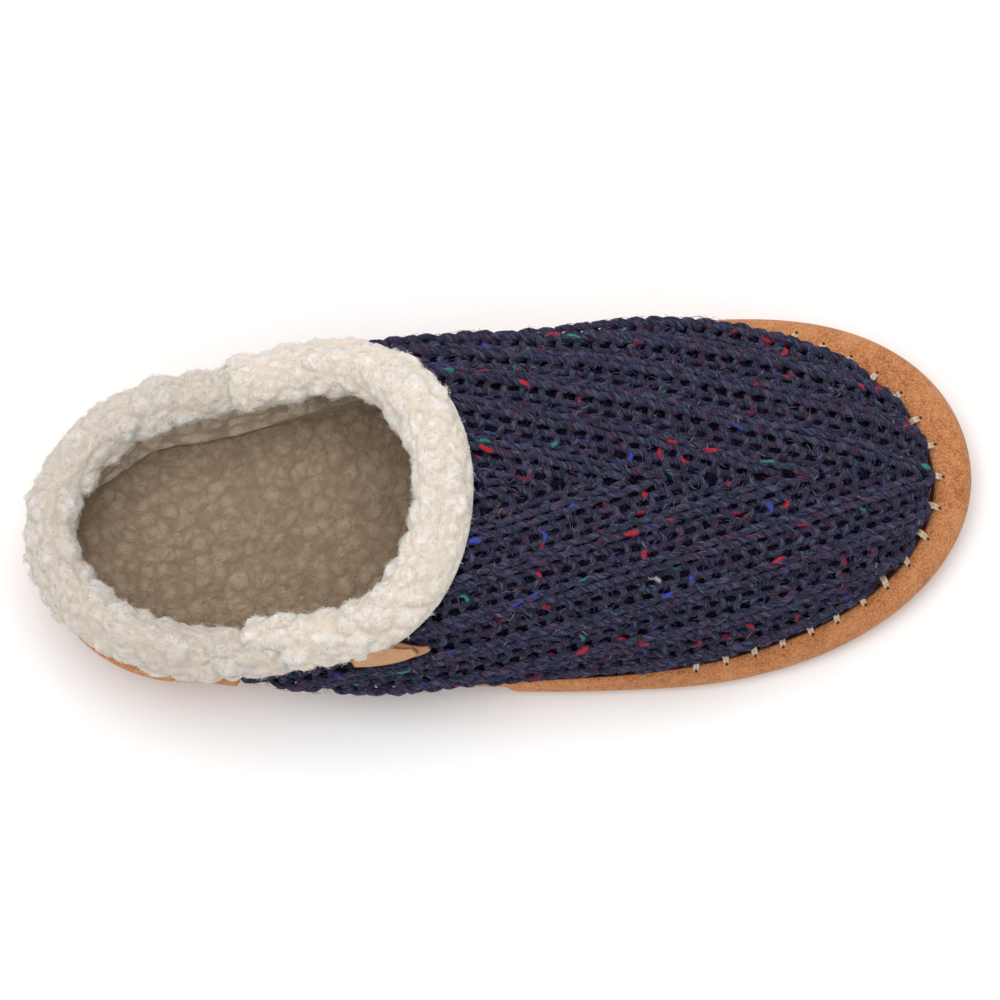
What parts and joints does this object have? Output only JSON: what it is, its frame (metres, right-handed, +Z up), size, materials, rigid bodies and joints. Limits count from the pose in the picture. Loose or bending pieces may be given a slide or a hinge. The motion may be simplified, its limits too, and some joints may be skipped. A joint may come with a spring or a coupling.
{
  "type": "clog slipper",
  "caption": "Low-backed clog slipper for the right foot: chunky ribbed knit upper, rolled sherpa cuff, fleece footbed and suede-wrapped sole.",
  "frame": {"origin": "centre of the shoe's footprint, on the floor under the sole", "axes": "+X towards the toe, +Y towards the inner side of the foot, +Z up"},
  "size_m": [0.2726, 0.1072, 0.0671],
  "materials": {
    "suede": "tan suede with a fine short nap",
    "knit": "navy heather wool rib knit with coloured flecks",
    "fleece": "beige curly fleece",
    "sherpa": "cream curly sherpa pile",
    "tag_leather": "plain tan leather with raw edges"
  },
  "bodies": {
    "root": {"sole": "suede", "heel_counter": "suede", "upper": "knit", "insole": "fleece", "front_cuff": "sherpa", "heel_cuff": "sherpa", "side_tag": "tag_leather"}
  },
  "joints": []
}
